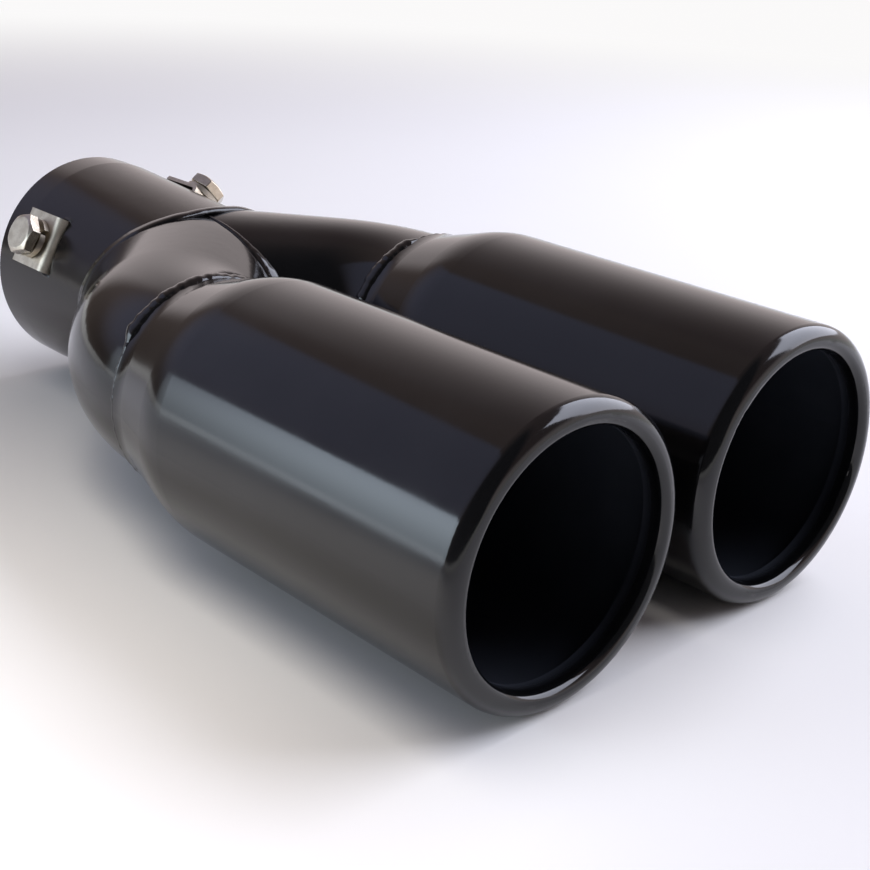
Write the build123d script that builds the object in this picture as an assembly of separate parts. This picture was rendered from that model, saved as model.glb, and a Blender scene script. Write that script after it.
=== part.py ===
from build123d import *

import os
from math import cos, pi, radians, sin, sqrt, tan

# Twin-outlet exhaust tip: a clamp-on inlet, a welded Y of two oval-to-round pipes and two rolled-lip cans.
# Millimetres. +X runs from the inlet mouth to the outlets, +Z is up, and the origin is the centre of the
# inlet mouth. Left is the -Y side, and the left and right cans and pipes are mirror images.

# Inlet pipe: round at the mouth, then pressed to an oval that meets both branches
inlet_od = 76.0
inlet_wall = 1.5
inlet_straight = 12.0        # round stretch at the mouth
inlet_reach = 75.0           # mouth to the end of the pipe, on its top
press_depth = 5.2            # how far the top and bottom of the pressed end come in
press_runout = 6.0           # the oval is full this far past the end, in metal that is trimmed off
trim_radius = 55.0           # the pressed end is cut to this arc, seen from above

# Branch pipes: an oval start butted to the inlet, an S bend and a round end inside a can
branch_end_od = 63.5
branch_wall = 1.5
branch_bend_radius = 51.0
branch_slope = 42.0          # degrees between the two bends
branch_lead = 2.0            # straight stretch ahead of the first bend
branch_tail = 2.0            # straight stretch between the second bend and the neck
seam_lead = 26.7             # the branches' path starts this far behind the inlet's end
seam_step = 0.5              # the branches start this far inside the inlet's outside
seam_gap = 0.15              # root gap of the butt weld between the inlet and the branches

# Outlet cans: a flared neck, a straight wall and a lip rolled inwards
can_od = 80.0
can_wall = 1.3
can_length = 145.8           # back edge of the neck to the front of the lip
can_gap = 8.2                # between the two cans
neck_clearance = 0.15
neck_lap = 8.0               # length of branch inside the neck
neck_land = 0.1              # straight stretch at the back of the neck
neck_bend = 20.0
flare_angle = 15.5           # degrees
shoulder_bend = 40.0
lip_outer_round = 4.4
lip_inner_round = 2.2
lip_flat = 0.1               # flat front between the two rounds
lip_return = 7.0             # depth of the rolled-in edge

# Weld beads
seam_bead_height = 0.5       # above the pipes' outsides
seam_bead_behind = 1.2       # from the trimmed edge towards the mouth
seam_bead_ahead = 2.2        # from the trimmed edge over the branches
crotch_bead_radius = 2.0
neck_bead_radius = 1.9

# Clip nuts, set bolts and spring washers
clip_x = 24.0
clip_angle = 31.5            # degrees above horizontal, around the pipe
clip_roll = 4.5              # degrees that the pair is turned about the pipe
clip_sheet = 1.5
clip_width = 19.8
clip_tail = 10.0             # bolt axis to the free end of the outer leg
clip_front = 6.6             # bolt axis to the start of the fold
clip_inner_tail = 8.5        # bolt axis to the free end of the inner leg
clip_clearance = 0.25
fold_flat = 0.1              # flat left in the middle of the fold
slot_clearance = 0.8
nut_boss_wall = 2.0
nut_boss_height = 2.5
bolt_d = 8.0
bolt_length = 15.2
bolt_tip_chamfer = 0.8
bolt_hole_clearance = 0.7    # around the bolt, in the pipe and the clip's outer leg
thread_clearance = 0.05
head_flats = 13.0
head_height = 4.1
head_chamfer = 25.0          # degrees
head_turn = 8.0              # degrees from the pipe's axis to a corner
washer_clearance = 0.2
washer_section = 2.8         # width of the ring's wire
washer_thickness = 2.0
washer_split = 1.6
washer_turn = 35.0           # degrees from the pipe's axis to the split
washer_rise = 1.3            # from the low end of the unpressed ring to its high end
washer_gap = 0.3             # slack between the head and the washer

# Derived places and sizes
can_offset = (can_od + can_gap) / 2
oval_x = inlet_reach + press_runout
trim_x = inlet_reach - trim_radius
side_seam_x = trim_x + sqrt(trim_radius**2 - (inlet_od / 2) ** 2)
bend_reach = branch_bend_radius * tan(radians(branch_slope) / 2)
branch_run = can_offset / tan(radians(branch_slope))
branch_start_x = inlet_reach - seam_lead
first_corner_x = branch_start_x + branch_lead + bend_reach
neck_x = first_corner_x + branch_run + bend_reach + branch_tail
lip_x = neck_x + can_length
neck_bore = branch_end_od + 2 * neck_clearance
neck_od = neck_bore + 2 * can_wall
lip_bore = can_od - 2 * (lip_outer_round + lip_flat + lip_inner_round)
bolt_hole_d = bolt_d + 2 * bolt_hole_clearance
washer_bore = bolt_d + 2 * washer_clearance
washer_radius = (washer_bore + washer_section) / 2
washer_base = clip_clearance + clip_sheet
head_base = washer_base + washer_thickness + washer_rise + washer_gap
room = 2 * lip_x             # larger than the whole part, for cutting blocks
plane_touch = 0.01           # picks the edges that lie on the middle plane
SIDES = {"left": -1, "right": 1}


def across(x):
    """Plane across the pipe at x: its own x runs along +Y and its own y along +Z."""
    return Plane(origin=(x, 0, 0), x_dir=(0, 1, 0), z_dir=(1, 0, 0))


def inlet_axes(x):
    """Half width and half height of the inlet's outside at x."""
    share = max(0.0, (x - inlet_straight) / (oval_x - inlet_straight))
    return inlet_od / 2, inlet_od / 2 - share * press_depth


def inlet_envelope(inset):
    """The inlet's outside as a filled solid, or its bore when inset by the wall."""
    mouth = across(0) * Circle(inlet_od / 2 - inset)
    start = across(inlet_straight) * Circle(inlet_od / 2 - inset)
    half_width, half_height = inlet_axes(oval_x)
    end = across(oval_x) * Ellipse(half_width - inset, half_height - inset)
    return extrude(mouth, inlet_straight) + loft([start, end], ruled=True)


def trim_column(radius):
    """Upright column whose front edge is the seam of the inlet, seen from above."""
    return Pos(trim_x, 0, 0) * Cylinder(radius, room)


def branch_path():
    """S bend of the right branch, from the inlet's axis to the can's axis."""
    return FilletPolyline(
        (branch_start_x, 0),
        (first_corner_x, 0),
        (first_corner_x + branch_run, can_offset),
        (neck_x + neck_lap, can_offset),
        radius=branch_bend_radius,
    )


def branch_envelope(inset):
    """The right branch's outside as a filled solid, or its bore when inset by the wall.

    It keeps the seam's oval up to the seam's sides and narrows from there to the round end.
    """
    path = branch_path()
    seam_axes = [half - seam_step for half in inlet_axes(inlet_reach)]
    end_axes = [branch_end_od / 2, branch_end_od / 2]
    sizes = {
        0: seam_axes,
        (side_seam_x - branch_start_x) / path.length: seam_axes,
        1 - (branch_tail + neck_lap) / path.length: end_axes,
        1: end_axes,
    }
    sections = []
    for place, (half_width, half_height) in sizes.items():
        plane = Plane(origin=path @ place, x_dir=(0, 1, 0), z_dir=path % place)
        sections.append(plane * Ellipse(half_width - inset, half_height - inset))
    return sweep(sections, path, multisection=True)


def right_half(shape):
    """What lies on the +Y side of the middle plane."""
    return shape & Pos(0, room / 2, 0) * Box(room * 2, room, room)


def branch_pipe():
    """The right branch: a bent pipe, mitred on the middle plane against its mirror image."""
    pipe = right_half(branch_envelope(0) - branch_envelope(branch_wall))
    return pipe - trim_column(trim_radius + seam_gap)


def outlet_can():
    """The right can: neck, flare, wall and a lip rolled in, as one revolved profile."""
    flare_x = neck_x + neck_land + neck_bend * tan(radians(flare_angle) / 2)
    shoulder_x = flare_x + (can_od - neck_od) / 2 / tan(radians(flare_angle))
    skin = FilletPolyline(
        (neck_x, neck_od / 2),
        (flare_x, neck_od / 2),
        (shoulder_x, can_od / 2),
        (lip_x, can_od / 2),
        (lip_x, lip_bore / 2),
        (lip_x - lip_return, lip_bore / 2),
        radius=[neck_bend, shoulder_bend, lip_outer_round, lip_inner_round],
    )
    sheet = make_face(offset(skin, amount=can_wall, side=Side.RIGHT, closed=True))
    return Pos(0, can_offset, 0) * revolve(sheet, Axis.X)


def seat_plane(side):
    """Plane on the inlet's outside under a clip: x along the pipe, z straight out of it."""
    half_width, half_height = inlet_axes(clip_x)
    angle = radians(clip_angle + side * clip_roll)
    out = Vector(0, side * cos(angle) / half_width, sin(angle) / half_height)
    origin = (clip_x, side * half_width * cos(angle), half_height * sin(angle))
    return Plane(origin=origin, x_dir=(1, 0, 0), z_dir=out)


def clip_depths():
    """Undersides of the outer and inner legs, measured outwards from the seat."""
    half = clip_width / 2
    bore = inlet_od / 2 - inlet_wall
    edge_drop = bore - sqrt(bore**2 - half**2)
    outer = clip_clearance
    inner = -inlet_wall - edge_drop - 2 * clip_clearance - clip_sheet
    return outer, inner


def clip_nut():
    """Sheet folded to a U through a slot in the pipe, with a threaded boss on the inner leg."""
    outer, inner = clip_depths()
    top = outer + clip_sheet
    fold = (top - inner) / 2
    front = clip_front + fold
    skin = FilletPolyline(
        (-clip_tail, top),
        (front, top),
        (front, inner),
        (-clip_inner_tail, inner),
        radius=fold - fold_flat / 2,
    )
    strip = make_face(offset(skin, amount=clip_sheet, side=Side.RIGHT, closed=True))
    sheet = extrude(Plane.XZ * strip, clip_width / 2, both=True)
    boss = Pos(0, 0, inner - nut_boss_height) * extrude(Circle(bolt_d / 2 + nut_boss_wall), nut_boss_height)
    thread = Cylinder(bolt_d / 2 + thread_clearance, room)
    clearance_hole = Pos(0, 0, outer) * extrude(Circle(bolt_hole_d / 2), room)
    return sheet + boss - thread - clearance_hole


def clip_cuts():
    """Slot for the fold and hole for the bolt, cut through the inlet's wall."""
    outer, inner = clip_depths()
    fold = (outer + clip_sheet - inner) / 2
    slot_length = clip_sheet + 2 * slot_clearance + fold / 2
    slot_x = clip_front + fold - slot_length / 2 + slot_clearance
    depth = outer - inner
    slot = Pos(slot_x, 0, 0) * Box(slot_length, clip_width + 2 * slot_clearance, 2 * depth)
    return slot + Cylinder(bolt_hole_d / 2, 2 * depth)


def spring_washer():
    """Split ring wound as a turn of a helix: its low end lies on the clip, its high end under the head."""
    wound = 1 - washer_split / (2 * pi * washer_radius)
    wire = Helix(washer_rise / wound, washer_rise, washer_radius)
    plane = Plane(origin=wire @ 0, x_dir=(1, 0, 0), z_dir=wire % 0)
    ring = sweep(plane * Rectangle(washer_section, washer_thickness), wire, is_frenet=True)
    return Pos(0, 0, washer_base + washer_thickness / 2) * Rot(0, 0, washer_turn) * ring


def set_bolt():
    """Hex bolt with a chamfered head, its tip inside the bore."""
    hexagon = RegularPolygon(head_flats / 2, 6, major_radius=False, rotation=head_turn)
    drop = (head_flats / sqrt(3) - head_flats / 2) * tan(radians(head_chamfer))
    crown = Polygon(
        (0, 0),
        (head_flats, 0),
        (head_flats, head_height - drop - (head_flats / 2) * tan(radians(head_chamfer))),
        (head_flats / 2, head_height),
        (0, head_height),
        align=None,
    )
    head = extrude(hexagon, head_height) & revolve(Plane.XZ * crown, Axis.Z)
    shank = Pos(0, 0, -bolt_length) * extrude(Circle(bolt_d / 2), bolt_length)
    tip = shank.faces().sort_by(Axis.Z)[0]
    shank = chamfer(tip.edges(), bolt_tip_chamfer)
    return Pos(0, 0, head_base) * (head + shank)


def inlet_pipe():
    """Tube with an oval end, trimmed to the seam and pierced for the clips."""
    pipe = (inlet_envelope(0) - inlet_envelope(inlet_wall)) & trim_column(trim_radius)
    for side in SIDES.values():
        pipe -= seat_plane(side) * clip_cuts()
    return pipe


def inlet_weld():
    """Bead around the inlet's trimmed edge, lying on the inlet behind it and on the branches ahead."""
    ahead = trim_column(trim_radius + seam_bead_ahead)
    behind = trim_column(trim_radius - seam_bead_behind)
    skin = inlet_envelope(-seam_bead_height) + branch_envelope(-seam_bead_height)
    band = right_half((skin & ahead) - behind)
    inlet_core = inlet_envelope(0) & trim_column(trim_radius)
    bead = band - inlet_core - branch_core
    return bead + mirror(bead, Plane.XZ)


def crotch_weld():
    """Bead along the mitre of the two branches, over the top, through the crotch and back below."""
    mitre = branch_core.edges().filter_by_position(Axis.Y, -plane_touch, plane_touch)
    path = Wire(mitre.filter_by(GeomType.BSPLINE))
    section = Plane(origin=path @ 0, z_dir=path % 0) * Circle(crotch_bead_radius)
    bead = right_half(sweep(section, path)) - branch_core - trim_column(trim_radius + seam_bead_ahead)
    return bead + mirror(bead, Plane.XZ)


def neck_weld():
    """Bead in the corner between the right branch and the back edge of its can."""
    can_side = Pos(neck_x + neck_bead_radius, 0) * Rectangle(2 * neck_bead_radius, 2 * neck_od)
    ring = Pos(neck_x, neck_bore / 2) * Circle(neck_bead_radius) - can_side
    return Pos(0, can_offset, 0) * revolve(ring, Axis.X) - branch_core


branch_core = right_half(branch_envelope(0))

mirrored = {"branch_pipe": branch_pipe(), "outlet_can": outlet_can(), "neck_weld": neck_weld()}
fastened = {"clip_nut": clip_nut(), "spring_washer": spring_washer(), "set_bolt": set_bolt()}
parts = {"inlet_pipe": inlet_pipe(), "inlet_weld": inlet_weld(), "crotch_weld": crotch_weld()}
for name, side in SIDES.items():
    for piece, shape in mirrored.items():
        parts[f"{piece}_{name}"] = shape if side > 0 else mirror(shape, Plane.XZ)
    for piece, shape in fastened.items():
        parts[f"{piece}_{name}"] = seat_plane(side) * shape

os.makedirs("parts", exist_ok=True)
for name, shape in parts.items():
    export_step(shape, f"parts/{name}.step")
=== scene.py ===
from math import cos, pi, radians, sin, tan

import bmesh
import bpy
import numpy as np
from mathutils import Matrix, Vector


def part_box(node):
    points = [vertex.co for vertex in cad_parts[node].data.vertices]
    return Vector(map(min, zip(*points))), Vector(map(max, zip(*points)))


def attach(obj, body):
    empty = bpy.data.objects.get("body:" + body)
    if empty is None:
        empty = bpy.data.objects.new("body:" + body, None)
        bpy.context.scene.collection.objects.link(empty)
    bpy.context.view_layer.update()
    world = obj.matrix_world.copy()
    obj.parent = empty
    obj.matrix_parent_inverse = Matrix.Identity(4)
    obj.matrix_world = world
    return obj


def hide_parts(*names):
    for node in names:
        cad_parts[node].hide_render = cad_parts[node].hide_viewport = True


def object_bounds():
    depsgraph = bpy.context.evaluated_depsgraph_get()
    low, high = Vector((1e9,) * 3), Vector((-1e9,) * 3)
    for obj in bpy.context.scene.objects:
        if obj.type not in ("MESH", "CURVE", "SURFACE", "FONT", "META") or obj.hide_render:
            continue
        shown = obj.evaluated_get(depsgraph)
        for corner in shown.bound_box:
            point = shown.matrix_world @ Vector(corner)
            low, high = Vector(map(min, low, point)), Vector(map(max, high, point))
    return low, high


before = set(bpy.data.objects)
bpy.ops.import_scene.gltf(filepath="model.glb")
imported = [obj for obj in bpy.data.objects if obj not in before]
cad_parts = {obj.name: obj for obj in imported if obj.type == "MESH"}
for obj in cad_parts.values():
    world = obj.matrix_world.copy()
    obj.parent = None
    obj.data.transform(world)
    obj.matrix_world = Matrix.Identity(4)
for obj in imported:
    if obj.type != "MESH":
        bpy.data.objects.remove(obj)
cad_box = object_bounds()

MM = 0.001
FULL_TURN = 2 * pi

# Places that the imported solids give.
can_low, can_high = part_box("outlet_can_left")
can_offset = -(can_low.y + can_high.y) / 2
neck_x = can_low.x
lip_x = can_high.x
floor_z = cad_box[0][2]

# Pipes that the beads follow.
inlet_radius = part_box("inlet_pipe")[1].y
inlet_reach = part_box("inlet_pipe")[1].x
inlet_straight = 12 * MM
press_depth = 5.2 * MM
press_end = 81 * MM
trim_radius = 55 * MM
branch_radius = 31.75 * MM
branch_start = 48.3 * MM
branch_lead = 2 * MM
bend_radius = 51 * MM
branch_slope = radians(42)
branch_straight = 26.75 * MM
branch_narrows = (11.46 * MM, 103.5 * MM)
seam_step = 0.5 * MM
edge_headings = 800
edge_angles = 181

# Weld beads.
weld_distance = 0.001 * MM
bead_sides = 24
groove_spread = 0.35
neck_bead_steps = 900
neck_bead_fine = 0.6 * MM
neck_bead_bulk = 1.5 * MM
neck_bead_fine_lift = 0.8 * MM
neck_bead_ramp = radians(12)
neck_bead_height = 0.95
neck_bead_width = 1.35
neck_bead_out = 0.15
neck_bead_back = 0.6
neck_fine_swell = 0.15
neck_band_swell = 0.12
neck_crotch_end = radians(80)
neck_crotch_fade = radians(25)
neck_lump_share = 0.15
neck_lump_turn = radians(3)
seam_bead_steps = 900
seam_bead_height = 1.1 * MM
seam_bead_width = 2.2 * MM
seam_side_height = 1.0 * MM
seam_side_width = 1.8 * MM
seam_groove = 0.2
seam_swell = 0.06
mitre_bead_steps = 500
mitre_bead_size = 0.5 * MM
mitre_fill_height = 1.8 * MM
mitre_fill_width = 5.0 * MM
mitre_swell = 0.08
mitre_end_power = 20

# Clips and their slots.
clip_x = 24 * MM
clip_angles = {"left": radians(27), "right": radians(36)}
slot_middle = 8.3 * MM
slot_half_width = 10.3 * MM
# Dark plugs in the ends of each slot, standing in for the shade seen in those gaps.
shade_plug_half_sizes = (2.5 * MM, 0.7 * MM, 0.75 * MM)
shade_plug_depth = 2.2 * MM
shade_plug_rows = 17
shade_plug_columns = 32
shade_plug_squareness = 0.5

# Set bolts.
bolt_sides = 96
bolt_radius = 4 * MM
bolt_length = 15.2 * MM
bolt_tip = 0.8 * MM
head_base = 5.35 * MM
head_flats = 13 * MM
head_height = 4.1 * MM
head_face_radius = 5.7 * MM
head_chamfer = radians(30)
head_turn = radians(19)
bolt_edge_round = 0.22 * MM
bolt_edge_angle = radians(22)


class Value:
    """A varying number, colour or vector: a node's output. Arithmetic on it adds Math nodes."""

    def __init__(self, shader, socket):
        self.shader = shader
        self.socket = socket

    def out(self, name):
        """Another output of the same node."""
        return Value(self.shader, self.socket.node.outputs[name])

    def math(self, operation, *terms):
        return self.shader.node("ShaderNodeMath", {"operation": operation}, dict(enumerate(terms)))

    def __add__(self, other):
        return self.math("ADD", self, other)

    def __radd__(self, other):
        return self.math("ADD", other, self)

    def __sub__(self, other):
        return self.math("SUBTRACT", self, other)

    def __rsub__(self, other):
        return self.math("SUBTRACT", other, self)

    def __mul__(self, other):
        return self.math("MULTIPLY", self, other)

    def __rmul__(self, other):
        return self.math("MULTIPLY", other, self)

    def __truediv__(self, other):
        return self.math("DIVIDE", self, other)

    def __rtruediv__(self, other):
        return self.math("DIVIDE", other, self)

    def __pow__(self, other):
        return self.math("POWER", self, other)

    def __rpow__(self, other):
        return self.math("POWER", other, self)

    def __neg__(self):
        return self.math("MULTIPLY", self, -1.0)

    def __abs__(self):
        return self.math("ABSOLUTE", self)

    def positive(self):
        """Itself where it is above 0, and 0 elsewhere."""
        return self.math("MAXIMUM", self, 0.0)

    def rise(self, low, high):
        """0 below low, 1 above high, with a soft S between; low may be the larger of the two."""
        return self.shader.node(
            "ShaderNodeMapRange",
            {"interpolation_type": "SMOOTHSTEP"},
            {"Value": self, "From Min": low, "From Max": high},
        )


class Shader:
    """The node tree of one finish, lamp or sky."""

    def __init__(self, tree):
        self.tree = tree
        tree.nodes.clear()

    def node(self, kind, settings=None, sockets=None):
        """Adds a node: its settings first, then its sockets' values or links."""
        made = self.tree.nodes.new(kind)
        for name, value in (settings or {}).items():
            setattr(made, name, value)
        for key, value in (sockets or {}).items():
            if isinstance(value, Value):
                self.tree.links.new(value.socket, made.inputs[key])
            else:
                made.inputs[key].default_value = value
        return Value(self, made.outputs[0]) if made.outputs else made

    def place(self):
        """The point's own place on the part, in metres."""
        return self.node("ShaderNodeTexCoord").out("Object")

    def normal(self):
        """The direction that the surface faces."""
        return self.node("ShaderNodeNewGeometry").out("Normal")

    def split(self, vector):
        """A vector's X, Y and Z, as outputs of one node."""
        return self.node("ShaderNodeSeparateXYZ", None, {0: vector})

    def noise(self, place, scale, detail=2.0):
        """Cloudy noise from 0 to 1 with about so many clouds to a metre."""
        return self.node(
            "ShaderNodeTexNoise", None, {"Vector": place, "Scale": scale, "Detail": detail}
        )

    def stretched(self, place, scales):
        """The place with each axis stretched by its own factor."""
        return self.node("ShaderNodeMapping", None, {"Vector": place, "Scale": scales})

    def blend(self, share, low, high):
        """Colour from low to high as the share goes from 0 to 1."""
        return self.node("ShaderNodeMix", {"data_type": "RGBA"}, {0: share, 6: low, 7: high}).out(2)

    def relief(self, height, strength=1.0):
        """Surface relief from a height in millimetres."""
        return self.node(
            "ShaderNodeBump", None, {"Strength": strength, "Distance": MM, "Height": height}
        )

    def surface(self, shader, kind="Material"):
        """Ends the tree: what it gives to a material, the world or a lamp."""
        self.node(f"ShaderNodeOutput{kind}", None, {"Surface": shader})


def new_finish(name):
    """An empty material and its shader tree."""
    material = bpy.data.materials.new(name)
    material.use_nodes = True
    return material, Shader(material.node_tree)


def inside_tube(shader, axis_y, mouth_x):
    """1 on the wall that faces a tube's own axis, which runs along X at that Y.

    It starts a few millimetres past the mouth."""
    normal = shader.split(shader.normal())
    place = shader.split(shader.place())
    across = place.out("Y") - axis_y
    up = place.out("Z")
    reach = (across * across + up * up) ** 0.5
    facing = (normal.out("Y") * across + normal.out("Z") * up) / reach
    depth = abs(place.out("X") - mouth_x)
    return facing.rise(-0.2, -0.6) * depth.rise(3 * MM, 8 * MM)


def gloss_black(name, axis_y=None, mouth_x=0.0, roughness=0.095, gloss=0.5, tint=(1, 1, 1, 1)):
    """Gloss black coating: faint orange peel, long waves of the tube and a thin film of dust.

    With an axis it is dull and sooty inside that tube."""
    material, shader = new_finish(name)
    place = shader.place()
    peel = shader.noise(place, 620.0, 1.0)
    wave = shader.noise(place, 22.0, 1.0)
    film = shader.noise(place, 35.0, 4.0).rise(0.35, 0.8)
    grain = shader.noise(place, 3500.0, 0.0).rise(0.66, 0.74)
    dust = film * 0.35 + grain * 0.3
    coat = shader.node(
        "ShaderNodeBsdfPrincipled",
        None,
        {
            "Base Color": shader.blend(dust, (0.0026, 0.0026, 0.003, 1), (0.012, 0.012, 0.013, 1)),
            "Roughness": roughness + film * 0.05,
            "Specular IOR Level": gloss,
            "Specular Tint": tint,
            "Normal": shader.relief(peel * 0.004 + wave * 0.02),
        },
    )
    if axis_y is None:
        shader.surface(coat)
        return material
    soot = shader.noise(place, 90.0, 5.0)
    inside = shader.node(
        "ShaderNodeBsdfPrincipled",
        None,
        {
            "Base Color": shader.blend(soot, (0.016, 0.019, 0.026, 1), (0.03, 0.034, 0.044, 1)),
            "Roughness": 0.55 + soot * 0.3,
            "Specular IOR Level": 0.12,
            "Normal": shader.relief(soot * 0.05),
        },
    )
    share = inside_tube(shader, axis_y, mouth_x)
    shader.surface(shader.node("ShaderNodeMixShader", None, {0: share, 1: coat, 2: inside}))
    return material


def coated_weld():
    """Weld bead under the black coating: glossy, with soft ripples and a few dull specks of scale."""
    material, shader = new_finish("coated weld")
    place = shader.place()
    ripple = shader.noise(place, 260.0, 2.0)
    scale = shader.noise(place, 1100.0, 2.0).rise(0.58, 0.75)
    shader.surface(
        shader.node(
            "ShaderNodeBsdfPrincipled",
            None,
            {
                "Base Color": shader.blend(scale, (0.003, 0.003, 0.0034, 1), (0.012, 0.0115, 0.011, 1)),
                "Roughness": 0.1 + scale * 0.15,
                "Normal": shader.relief(ripple * 0.06 + scale * 0.01),
            },
        )
    )
    return material


def zinc_steel(name, axis=None):
    """Dull zinc plating: warm grey, fine rolling lines, clouds and a few dark specks.

    On a bolt with that axis, the flanks of the head are bright and its face is dull and grainy."""
    material, shader = new_finish(name)
    place = shader.place()
    lines = shader.noise(shader.stretched(place, (300.0, 3600.0, 3600.0)), 1.0, 3.0)
    cloud = shader.noise(place, 320.0, 3.0)
    specks = shader.noise(place, 2200.0, 1.0).rise(0.66, 0.74)
    grain = shader.noise(place, 1500.0, 2.0)
    plate = shader.blend(cloud.rise(0.3, 0.7), (0.5, 0.445, 0.36, 1), (0.63, 0.575, 0.48, 1))
    dull = 1.0
    if axis is not None:
        facing = {0: shader.normal(), 1: axis}
        dull = shader.node("ShaderNodeVectorMath", {"operation": "DOT_PRODUCT"}, facing)
        dull = dull.out("Value").rise(0.8, 0.95)
    shader.surface(
        shader.node(
            "ShaderNodeBsdfPrincipled",
            None,
            {
                "Base Color": shader.blend(specks * 0.5, plate, (0.16, 0.145, 0.125, 1)),
                "Metallic": 1.0,
                "Roughness": 0.14 + 0.22 * dull + cloud * 0.08 + lines * 0.06,
                "Normal": shader.relief(lines * 0.003 + cloud * 0.006 + grain * 0.012 * dull),
            },
        )
    )
    return material


def loop_waves(turn, counts, rng):
    """Mean of sines around a loop, each with its own count of waves and a random phase."""
    phases = rng.uniform(0, FULL_TURN, len(counts))
    return np.sin(np.outer(turn, counts) + phases).sum(1) / len(counts)


def closed_mesh(name, points, finish, replaced=None, looped=True):
    """A piece from a grid of points that closes on itself.

    One that isn't looped has rows that shrink to a point at both ends."""
    index = np.arange(points.shape[0] * points.shape[1]).reshape(points.shape[:2])
    beside = np.roll(index, -1, 1)
    corners = np.stack((index, beside, np.roll(beside, -1, 0), np.roll(index, -1, 0)), -1)
    faces = (corners if looped else corners[:-1]).reshape(-1, 4)
    mesh = bpy.data.meshes.new(name)
    mesh.from_pydata(points.reshape(-1, 3).tolist(), [], faces.tolist())
    work = bmesh.new()
    work.from_mesh(mesh)
    bmesh.ops.remove_doubles(work, verts=work.verts, dist=weld_distance)
    work.to_mesh(mesh)
    work.free()
    mesh.shade_smooth()
    mesh.materials.append(finish)
    piece = bpy.data.objects.new(name, mesh)
    bpy.context.scene.collection.objects.link(piece)
    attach(piece, "root")
    if replaced:
        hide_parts(replaced)
    return piece


def unit(vectors):
    """The same directions with length one."""
    return vectors / np.linalg.norm(vectors, axis=-1, keepdims=True)


def rope(path, along, out, height, width, groove=0.0):
    """Ellipses carried along a path.

    point(s, a) = path(s) + height(s) cos a out(s) + width(s) sin a across(s). A groove, as a share of the
    height, lowers the crown by a bell curve of sin a."""
    around = np.linspace(0, FULL_TURN, bead_sides, endpoint=False)[None, :, None]
    across = np.cross(along, out)
    lift = (height[:, None] * out)[:, None, :]
    spread = (width[:, None] * across)[:, None, :]
    dent = 1 - np.reshape(groove, (-1, 1, 1)) * np.exp(-((np.sin(around) / groove_spread) ** 2))
    return path[:, None, :] + np.cos(around) * dent * lift + np.sin(around) * spread


def soft_step(share):
    """0 below 0, 1 above 1, and 3 s^2 - 2 s^3 between."""
    share = np.clip(share, 0, 1)
    return share * share * (3 - 2 * share)


def neck_bead(side, axis_y, first, last, finish):
    """Bead round the branch's end at the can's back edge: a ring about the can's axis.

    It is a fine line but for the stretch between two angles, counted from +Y over +Z, where it is a
    wide band. Waves of a few counts make it swell, more so towards +Y, the left bead's crotch side. A lump
    ends the band."""
    rng = np.random.default_rng(len(side))
    turn = np.linspace(0, FULL_TURN, neck_bead_steps, endpoint=False)
    band = soft_step((turn - first) / neck_bead_ramp) * soft_step((last - turn) / neck_bead_ramp)
    crotch = soft_step((neck_crotch_end - turn) / neck_crotch_fade)
    swell = neck_band_swell * loop_waves(turn, (9, 15, 23), rng)
    swell = swell + neck_band_swell * crotch * loop_waves(turn, (37, 53), rng)
    lump = np.exp(-(((turn - last + neck_bead_ramp) / neck_lump_turn) ** 2))
    size = neck_bead_fine * (1 + neck_fine_swell * loop_waves(turn, (41, 67), rng))
    size = size + neck_bead_bulk * band * (1 + swell)
    size = size + neck_lump_share * neck_bead_bulk * lump
    out = np.stack((np.zeros_like(turn), np.cos(turn), np.sin(turn)), -1)
    along = np.stack((np.zeros_like(turn), -np.sin(turn), np.cos(turn)), -1)
    path = out * (branch_radius + neck_bead_out * size + neck_bead_fine_lift * (1 - band))[:, None]
    path = path + np.stack((neck_x - neck_bead_back * size, turn * 0 + axis_y, turn * 0), -1)
    points = rope(path, along, out, neck_bead_height * size, neck_bead_width * size)
    return closed_mesh(f"neck_bead_{side}", points, finish, f"neck_weld_{side}")


def pressed_height(x):
    """Half the height of the inlet's oval, which shrinks evenly along X once the pipe is pressed."""
    return inlet_radius - press_depth * (x - inlet_straight) / (press_end - inlet_straight)


def trim_x(y):
    """X of the upright column that trims the inlet's end: reach - radius + sqrt(radius^2 - y^2)."""
    return inlet_reach - trim_radius + np.sqrt(trim_radius**2 - y**2)


def branch_oval(length):
    """Half width and half height of a branch at a length of its middle line.

    The oval at the seam goes over to the round end by a soft step."""
    share = soft_step((length - branch_narrows[0]) / (branch_narrows[1] - branch_narrows[0]))
    half_width = (inlet_radius - seam_step) * (1 - share) + branch_radius * share
    half_height = (pressed_height(inlet_reach) - seam_step) * (1 - share) + branch_radius * share
    return half_width, half_height


def branch_edge():
    """A branch's cut edge on the trimming column: angle round the inlet, X, and height above the inlet.

    On the bend the outside is x = start + R sin h, y = R cos h - bend radius, z = half height sin a,
    with R = bend radius + half width cos a. For each a the edge is the first heading h past the column."""
    heading = np.linspace(0, branch_slope, edge_headings)[:, None]
    around = np.linspace(pi / 2, pi, edge_angles)[None, :]
    half_width, half_height = branch_oval(branch_lead + bend_radius * heading)
    swing = bend_radius + half_width * np.cos(around)
    x = branch_start + branch_lead + swing * np.sin(heading)
    y = swing * np.cos(heading) - bend_radius
    z = half_height * np.sin(around)
    edge = np.argmax(x > trim_x(y), 0), np.arange(around.shape[1])
    x, y, z = x[edge], y[edge], z[edge]
    turn = np.arctan2(z / pressed_height(x), y / inlet_radius)
    lift = np.hypot(y, z) - np.hypot(inlet_radius * np.cos(turn), pressed_height(x) * np.sin(turn))
    return turn, x, lift


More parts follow.
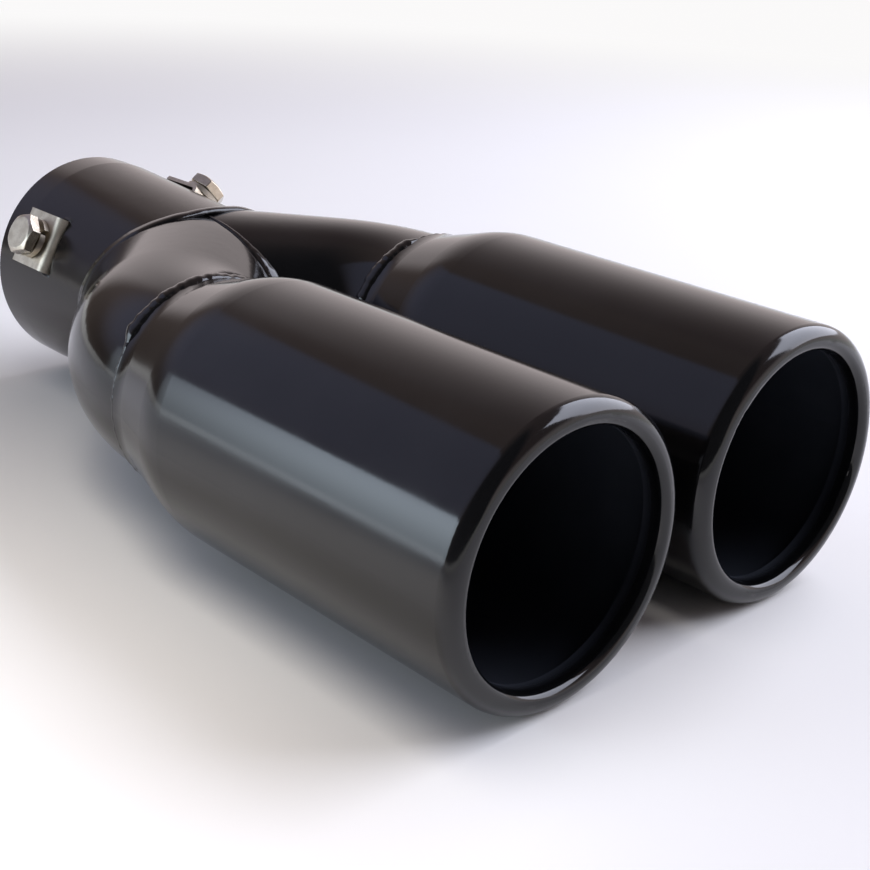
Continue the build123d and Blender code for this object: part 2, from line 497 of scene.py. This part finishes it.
def seam_bead(finish):
    """Low smooth bead over the crease between the inlet's saddle-shaped end and the branches.

    The path runs midway between the inlet's trimmed edge and the branches' cut edge. The bead stands out
    along the bisector of the two walls: the pipe's own normal, tilted back by half the branch's slope
    against it."""
    turn = np.linspace(0, FULL_TURN, seam_bead_steps, endpoint=False)
    edge_turn, edge_x, edge_lift = branch_edge()
    folded = np.arccos(-np.abs(np.cos(turn)))
    y = inlet_radius * np.cos(turn)
    x = trim_x(y)
    half_height = pressed_height(x)
    out = unit(np.stack((turn * 0, np.cos(turn) / inlet_radius, np.sin(turn) / half_height), -1))
    lift = np.interp(folded, edge_turn, edge_lift)
    middle_x = (x + np.interp(folded, edge_turn, edge_x)) / 2
    path = np.stack((middle_x, y, half_height * np.sin(turn)), -1) + lift[:, None] / 2 * out
    along = unit(np.roll(path, -1, 0) - np.roll(path, 1, 0))
    tilt = np.arctan(tan(branch_slope) * np.abs(out[:, 1:2])) / 2
    out = out * np.cos(tilt) - np.sin(tilt) * np.array((1.0, 0, 0))
    at_side = np.sin(2 * tilt[:, 0]) / sin(branch_slope)
    swell = 1 + seam_swell * loop_waves(turn, (9, 17, 29), np.random.default_rng(3))
    height = (seam_bead_height + seam_side_height * at_side) * swell
    width = (seam_bead_width + seam_side_width * at_side) * swell
    points = rope(path, along, out, height, width, seam_groove * at_side)
    return closed_mesh("seam_bead", points, finish, "inlet_weld")


def mitre_bead(finish):
    """Fine bead where the branches meet in the middle plane, from the seam over the crotch and back below.

    A branch's middle line runs straight, bends by the slope and runs straight again. At heading h and
    distance c from the middle plane the pipe's oval is cut at q = c / cos h, so the mitre passes
    x = line x + q sin h, z = half height * sqrt(1 - (q / half width)^2)."""
    bend = np.linspace(0, branch_slope, mitre_bead_steps)
    run = np.linspace(0, branch_straight, mitre_bead_steps)
    heading = np.concatenate((bend, 0 * run + branch_slope))
    ahead = np.concatenate((0 * bend, run))
    line_x = branch_start + branch_lead + bend_radius * np.sin(heading) + ahead * np.cos(heading)
    line_y = bend_radius * (1 - np.cos(heading)) + ahead * np.sin(heading)
    half_width, half_height = branch_oval(branch_lead + bend_radius * heading + ahead)
    cut = line_y / np.cos(heading)
    kept = (cut < half_width) & (line_x + cut * np.sin(heading) > inlet_reach)
    x = (line_x + cut * np.sin(heading))[kept]
    z = (half_height * np.sqrt(np.clip(1 - (cut / half_width) ** 2, 0, 1)))[kept]
    path = np.stack((np.append(x, x[::-1]), np.zeros(2 * len(x)), np.append(z, -z[::-1])), -1)
    along = unit(np.gradient(path, axis=0))
    out = np.stack((-along[:, 2], 0 * along[:, 1], along[:, 0]), -1)
    step = np.linspace(0, 1, len(path))
    ends = np.sqrt(np.clip(1 - (2 * step - 1) ** mitre_end_power, 0, 1))
    crotch = (1 - np.abs(2 * step - 1)) ** 2
    waves = 1 + mitre_swell * loop_waves(step * FULL_TURN, (7, 12, 19), np.random.default_rng(8))
    height = (mitre_bead_size + mitre_fill_height * crotch) * ends * waves
    width = (mitre_bead_size + mitre_fill_width * crotch) * ends * waves
    points = rope(path, along, out, height, width)
    return closed_mesh("mitre_bead", points, finish, "crotch_weld", looped=False)


def clip_seat(side, way):
    """Point on the inlet under a clip's bolt, and the ways along the pipe, across it and out of it."""
    angle = clip_angles[side]
    half_height = pressed_height(clip_x)
    seat = np.array((clip_x, way * inlet_radius * cos(angle), half_height * sin(angle)))
    out = unit(np.array((0, way * cos(angle) / inlet_radius, sin(angle) / half_height)))
    pipe = np.array((1.0, 0, 0))
    return seat, np.stack((pipe, np.cross(out, pipe), out))


def set_bolt(side, way, finish):
    """Hex bolt with a chamfered head, in rows from its tip to the middle of the head's face.

    Each row is point(a) = radius(a) in the direction a, at height(a) on the axis. The hexagon's radius is
    half the flats / cos(angle from the flat's middle), and its flanks end at
    face height - (radius - face radius) tan c, with c the chamfer."""
    turn = np.linspace(0, FULL_TURN, bolt_sides, endpoint=False)
    even = np.ones_like(turn)
    hexagon = head_flats / 2 / np.cos(np.mod(turn, pi / 3) - pi / 6)
    flank_end = head_height - (hexagon - head_face_radius) * tan(head_chamfer)
    radius = np.stack((
        0 * even, (bolt_radius - bolt_tip) * even, bolt_radius * even, bolt_radius * even,
        hexagon, hexagon, head_face_radius * even, 0 * even,
    ))
    height = np.stack((
        -bolt_length * even, -bolt_length * even, (bolt_tip - bolt_length) * even, 0 * even,
        0 * even, flank_end, head_height * even, head_height * even,
    ))
    turned = turn + head_turn
    local = np.stack((radius * np.cos(turned), radius * np.sin(turned), height + head_base), -1)
    seat, ways = clip_seat(side, way)
    piece = closed_mesh(
        f"hex_bolt_{side}", seat + local @ ways, finish, f"set_bolt_{side}", looped=False
    )
    edges = piece.modifiers.new("edges", "BEVEL")
    edges.width = bolt_edge_round
    edges.segments = 2
    edges.limit_method = "ANGLE"
    edges.angle_limit = bolt_edge_angle
    edges.harden_normals = True
    return piece


def squared(wave):
    """A sine or cosine with its size raised to a power below one, which squares a round form."""
    return np.sign(wave) * np.abs(wave) ** shade_plug_squareness


def slot_shade_plug(side, way, end, finish):
    """Dark rounded block of the black coating, set in the pipe's wall at the narrow end of a clip's slot:
    it fills that gap and stands in for the shade seen there.

    point(u, v) = centre + (a C(u) C(v), b C(u) S(v), c S(u)) along the pipe, across the slot and out of the
    pipe, where C and S are the squared cosine and sine."""
    rows = np.linspace(-pi / 2, pi / 2, shade_plug_rows)
    columns = np.linspace(0, FULL_TURN, shade_plug_columns, endpoint=False)
    up, around = np.meshgrid(rows, columns, indexing="ij")
    along_pipe = squared(np.cos(up)) * squared(np.cos(around))
    across_slot = squared(np.cos(up)) * squared(np.sin(around))
    local = np.stack((along_pipe, across_slot, squared(np.sin(up))), -1) * np.array(shade_plug_half_sizes)
    local = local + np.array((slot_middle, end * slot_half_width, -shade_plug_depth))
    seat, ways = clip_seat(side, way)
    points = seat + local @ ways
    name = f"slot_shade_plug_{side}_{'upper' if end * way > 0 else 'lower'}"
    return closed_mesh(name, np.transpose(points, (1, 0, 2))[:, ::-1], finish)


def dress_nodes(finishes):
    """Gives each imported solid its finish."""
    for name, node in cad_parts.items():
        for place in node.material_slots:
            place.material = next(finish for start, finish in finishes if name.startswith(start))


def studio_sky():
    """The studio round the part, by direction: a pale backdrop low on the far side, a dim room elsewhere.

    The room is brown and dim towards the inlet's end, darkest towards the camera, with a cool patch of
    ceiling between the two."""
    scene = bpy.context.scene
    scene.world = scene.world or bpy.data.worlds.new("studio")
    scene.world.use_nodes = True
    shader = Shader(scene.world.node_tree)
    way = shader.split(shader.node("ShaderNodeTexCoord").out("Generated"))
    x, y, z = way.out("X"), way.out("Y"), way.out("Z")
    brown = shader.blend(z.rise(0.05, 0.5), (0.16, 0.125, 0.11, 1), (0.34, 0.265, 0.25, 1))
    room = shader.blend((-x).rise(-0.1, 0.7), (0.07, 0.07, 0.078, 1), brown)
    fall = (z * (1 + 1.2 * x.positive())).rise(0.25, 0.85)
    backdrop = shader.blend(fall, (0.99, 0.88, 0.88, 1), (0.26, 0.2, 0.195, 1))
    colour = shader.blend((0.087 * x + 0.996 * y).rise(0.02, 0.2), room, backdrop)
    patch = (-0.63 * x - 0.394 * y + 0.669 * z).rise(0.78, 0.97) * (y + 1.09 * z).rise(0.76, 0.7)
    colour = shader.blend(patch, colour, (0.42, 0.43, 0.6, 1))
    shader.surface(shader.node("ShaderNodeBackground", None, {"Color": colour, "Strength": 1.0}), "World")


def softbox(name, centre, facing, width, height, level, tint, low_share=1.0, left_share=1.0):
    """Rectangular lamp that faces along a direction; it dims towards its foot and its left end."""
    lamp = bpy.data.lights.new(name, "AREA")
    lamp.shape = "RECTANGLE"
    lamp.size = width
    lamp.size_y = height
    lamp.energy = level * pi * width * height
    lamp.use_nodes = True
    shader = Shader(lamp.node_tree)
    spot = shader.split(shader.node("ShaderNodeNewGeometry").out("Parametric"))
    share = (left_share + (1 - left_share) * spot.out("X").rise(0.0, 0.7)) * (
        low_share + (1 - low_share) * spot.out("Y").rise(-0.1, 0.8)
    )
    colour = shader.blend(share, (0, 0, 0, 1), tint)
    shader.surface(shader.node("ShaderNodeEmission", None, {"Color": colour, "Strength": 1.0}), "Light")
    stand = bpy.data.objects.new(name, lamp)
    bpy.context.scene.collection.objects.link(stand)
    away = -Vector(facing).normalized()
    across = Vector((0, 0, 1)).cross(away).normalized()
    stand.matrix_world = Matrix((across, away.cross(across), away)).transposed().to_4x4()
    stand.location = centre
    stand.visible_camera = False
    return stand


def pale_floor():
    """Plain matt floor under the part, wide enough to fill every view.

    Far from the part it goes over to a pale sweep, to the camera and in reflections."""
    half = 40.0
    mesh = bpy.data.meshes.new("floor")
    corners = [(x * half, y * half, floor_z) for x, y in ((-1, -1), (1, -1), (1, 1), (-1, 1))]
    mesh.from_pydata(corners, [], [(0, 1, 2, 3)])
    material, shader = new_finish("floor")
    place = shader.place()
    mottle = shader.noise(place, 9.0, 3.0)
    sheet = shader.node(
        "ShaderNodeBsdfPrincipled",
        None,
        {
            "Base Color": shader.blend(mottle, (0.92, 0.905, 0.87, 1), (0.935, 0.92, 0.885, 1)),
            "Roughness": 0.9,
            "Specular IOR Level": 0.1,
        },
    )
    ray = shader.node("ShaderNodeLightPath")
    seen = ray.out("Is Camera Ray") + ray.out("Is Glossy Ray") + ray.out("Is Transmission Ray")
    distance = shader.node("ShaderNodeVectorMath", {"operation": "LENGTH"}, {0: place}).out("Value")
    far = distance.rise(0.5, 1.1)
    sweep = shader.node("ShaderNodeEmission", None, {"Color": (0.96, 0.95, 0.95, 1), "Strength": 1.0})
    shader.surface(shader.node("ShaderNodeMixShader", None, {0: far * seen, 1: sheet, 2: sweep}))
    mesh.materials.append(material)
    floor = bpy.data.objects.new("floor", mesh)
    bpy.context.scene.collection.objects.link(floor)


def photo_camera():
    """Camera at the photograph's place: an eye point, its turn, its height angle and a slight roll."""
    eye = (0.4831, -0.2801, 0.1564)
    turn, climb, roll = radians(46.09), radians(22.35), radians(-2.63)
    focal_pixels, image_pixels = 1475.95, 870
    back = Vector((sin(turn) * cos(climb), -cos(turn) * cos(climb), sin(climb)))
    right = Vector((0, 0, 1)).cross(back).normalized()
    up = back.cross(right)
    rolled_right = cos(roll) * right - sin(roll) * up
    rolled_up = back.cross(rolled_right)
    camera = bpy.data.cameras.new("camera")
    camera.sensor_width = 36.0
    camera.lens = camera.sensor_width * focal_pixels / image_pixels
    camera.clip_start = 0.01
    stand = bpy.data.objects.new("camera", camera)
    bpy.context.scene.collection.objects.link(stand)
    stand.matrix_world = Matrix((rolled_right, rolled_up, back)).transposed().to_4x4()
    stand.location = eye
    bpy.context.scene.camera = stand


weld = coated_weld()
zinc = zinc_steel("zinc plate")
branch_coat = gloss_black("branch coating")
dress_nodes(
    (
        ("outlet_can_left", gloss_black("left can coating", -can_offset, lip_x)),
        ("outlet_can_right", gloss_black("right can coating", can_offset, lip_x)),
        ("inlet_pipe", gloss_black("inlet coating", 0.0, 0.0, 0.17, 0.43, (1.0, 0.88, 0.82, 1))),
        ("branch_pipe", branch_coat),
        ("inlet_weld", weld),
        ("crotch_weld", weld),
        ("neck_weld", weld),
        ("clip_nut", zinc),
        ("spring_washer", zinc),
        ("set_bolt", zinc),
    )
)
for side, way in (("left", -1), ("right", 1)):
    # Dark coating plugs at both ends of the slot, standing in for the shade in those gaps.
    slot_shade_plug(side, way, 1, branch_coat)
    slot_shade_plug(side, way, -1, branch_coat)
    set_bolt(side, way, zinc_steel(f"{side} bolt plating", clip_seat(side, way)[1][2]))
neck_bead("left", -can_offset, radians(40), radians(150), weld)
neck_bead("right", can_offset, radians(98), radians(205), weld)
seam_bead(weld)
mitre_bead(weld)

studio_sky()
pale_floor()
side_left, side_right = Vector((-0.70, -0.56, floor_z)), Vector((0.05, -0.63, floor_z))
side_height, side_level = 0.33, 4.6
side_run = side_right - side_left
softbox(
    "side softbox",
    (side_left + side_right) / 2 + Vector((0, 0, side_height / 2)),
    (-side_run.y, side_run.x, 0),
    side_run.length,
    side_height,
    side_level,
    (0.82, 0.96, 1.1, 1),
    low_share=0.45,
    left_share=0.12,
)
front_turn, front_climb = radians(73), radians(36)
front_distance, front_level = 1.25, 4.8
front_flat = cos(front_climb)
front_way = Vector((cos(front_turn) * front_flat, sin(front_turn) * front_flat, sin(front_climb)))
softbox(
    "front softbox",
    Vector((lip_x, 0, 0)) + front_distance * front_way,
    -front_way,
    1.1 * front_distance,
    front_distance,
    front_level,
    (0.93, 0.98, 1.16, 1),
    low_share=0.6,
)
fill_place, fill_way = (0.2, -0.19, 0.3), (0, 0.001, -1)
fill_size, fill_level = 0.22, 1.05
fill = softbox("floor fill", fill_place, fill_way, fill_size, fill_size, fill_level, (1.06, 1.0, 0.93, 1))
fill.data.spread = radians(75)
fill.visible_glossy = False
photo_camera()

scene = bpy.context.scene
scene.view_settings.view_transform = "Standard"
